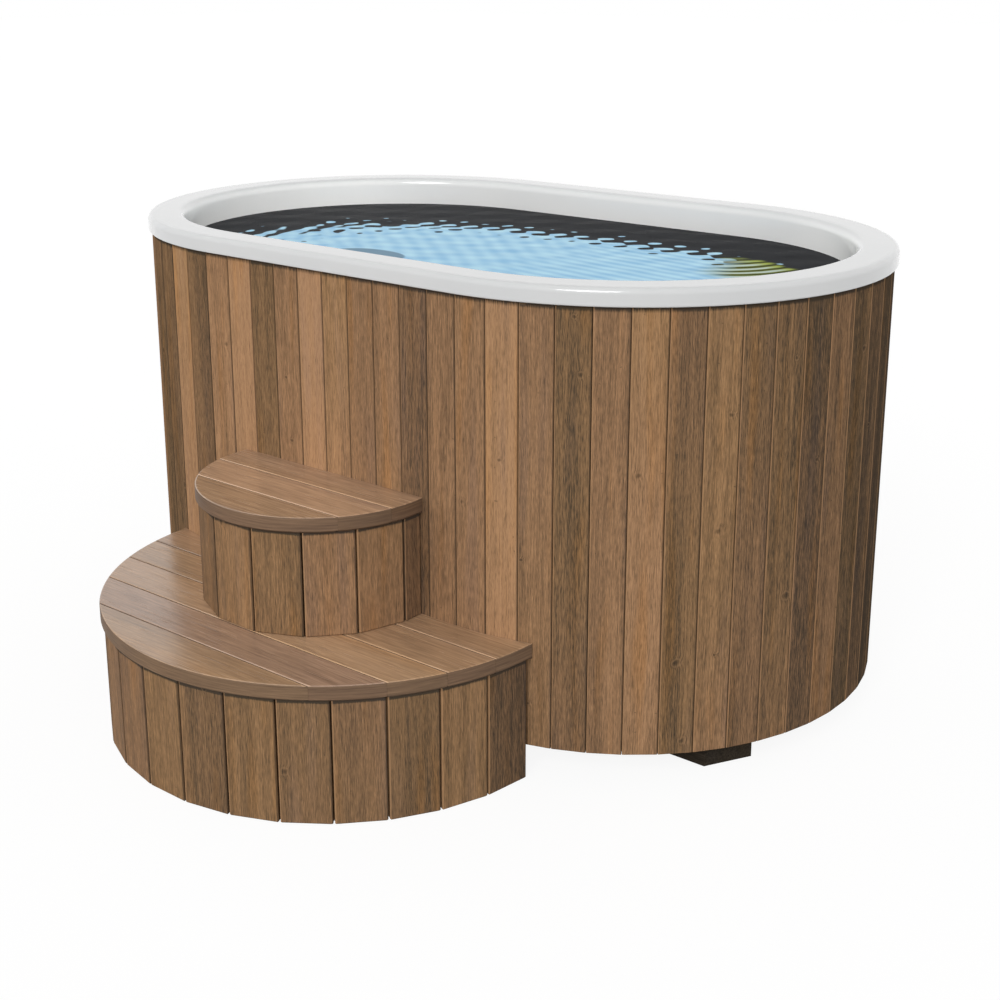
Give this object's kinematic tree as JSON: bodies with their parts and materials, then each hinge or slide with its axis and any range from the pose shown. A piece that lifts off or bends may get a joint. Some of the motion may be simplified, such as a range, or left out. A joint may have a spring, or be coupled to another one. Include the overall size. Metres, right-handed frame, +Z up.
{
  "type": "hot tub",
  "caption": "Oval soaking tub: moulded white shell with rolled rim, seats and foot well, upright board cladding on bearers, drain with ball valve, and loose half-round steps.",
  "frame": {"origin": "middle of the middle bearer's foot, on the floor under the centre of the oval", "axes": "+X along the tub's long axis, +Z up, the steps on the -Y side"},
  "size_m": [1.9135, 1.614, 0.993],
  "materials": {
    "gel_coat": "polished white gel coat on fibreglass",
    "board_wood": "oiled heat-treated boards",
    "tread_wood": "oiled heat-treated boards, worn to a low sheen",
    "stave_wood": "oiled heat-treated staves",
    "bearer_timber": "dark impregnated timber",
    "plywood": "bare plywood",
    "grey_plastic": "grey pipe plastic",
    "stainless_steel": "brushed",
    "brass": "plain brass"
  },
  "bodies": {
    "tub": {"tub_shell": "gel_coat", "cladding_panel_01": "board_wood", "cladding_panel_02": "board_wood", "cladding_panel_03": "board_wood", "cladding_panel_04": "board_wood", "cladding_panel_05": "board_wood", "cladding_panel_06": "board_wood", "cladding_panel_07": "board_wood", "cladding_panel_08": "board_wood", "cladding_panel_09": "board_wood", "cladding_panel_10": "board_wood", "top_hoop": "plywood", "base_plate_front": "plywood", "base_plate_back": "plywood", "seat_prop_left": "plywood", "seat_prop_right": "plywood", "bearer_front": "bearer_timber", "bearer_middle": "bearer_timber", "bearer_back": "bearer_timber", "drain_strainer": "stainless_steel", "drain_flange": "grey_plastic", "drain_nut": "grey_plastic", "drain_pipe": "grey_plastic", "valve_body": "brass"},
    "steps": {"lower_stave_01": "stave_wood", "lower_stave_02": "stave_wood", "lower_stave_03": "stave_wood", "lower_stave_04": "stave_wood", "lower_stave_05": "stave_wood", "lower_stave_06": "stave_wood", "lower_stave_07": "stave_wood", "lower_stave_08": "stave_wood", "lower_stave_09": "stave_wood", "lower_stave_10": "stave_wood", "lower_stave_11": "stave_wood", "lower_stave_12": "stave_wood", "lower_stave_13": "stave_wood", "lower_stave_14": "stave_wood", "lower_stave_15": "stave_wood", "upper_stave_01": "stave_wood", "upper_stave_02": "stave_wood", "upper_stave_03": "stave_wood", "upper_stave_04": "stave_wood", "upper_stave_05": "stave_wood", "upper_stave_06": "stave_wood", "upper_stave_07": "stave_wood", "upper_stave_08": "stave_wood", "upper_stave_09": "stave_wood", "lower_tread_1": "tread_wood", "lower_tread_2": "tread_wood", "lower_tread_3": "tread_wood", "lower_tread_4": "tread_wood", "lower_tread_5": "tread_wood", "upper_tread_1": "tread_wood", "upper_tread_2": "tread_wood", "upper_tread_3": "tread_wood", "lower_step_frame": "bearer_timber", "upper_step_frame": "bearer_timber"},
    "valve_handle": {"valve_ball": "stainless_steel", "valve_lever": "stainless_steel"}
  },
  "joints": [
    {"name": "steps_pull", "type": "slide", "parent": "tub", "child": "steps", "axis": [0, -1, 0], "range_m": [0, 0.4]},
    {"name": "valve_turn", "type": "hinge", "parent": "tub", "child": "valve_handle", "pos_m": [-0.962, 0.12, 0.034], "axis": [0, 0, 1], "range_deg": [0, 90]}
  ]
}
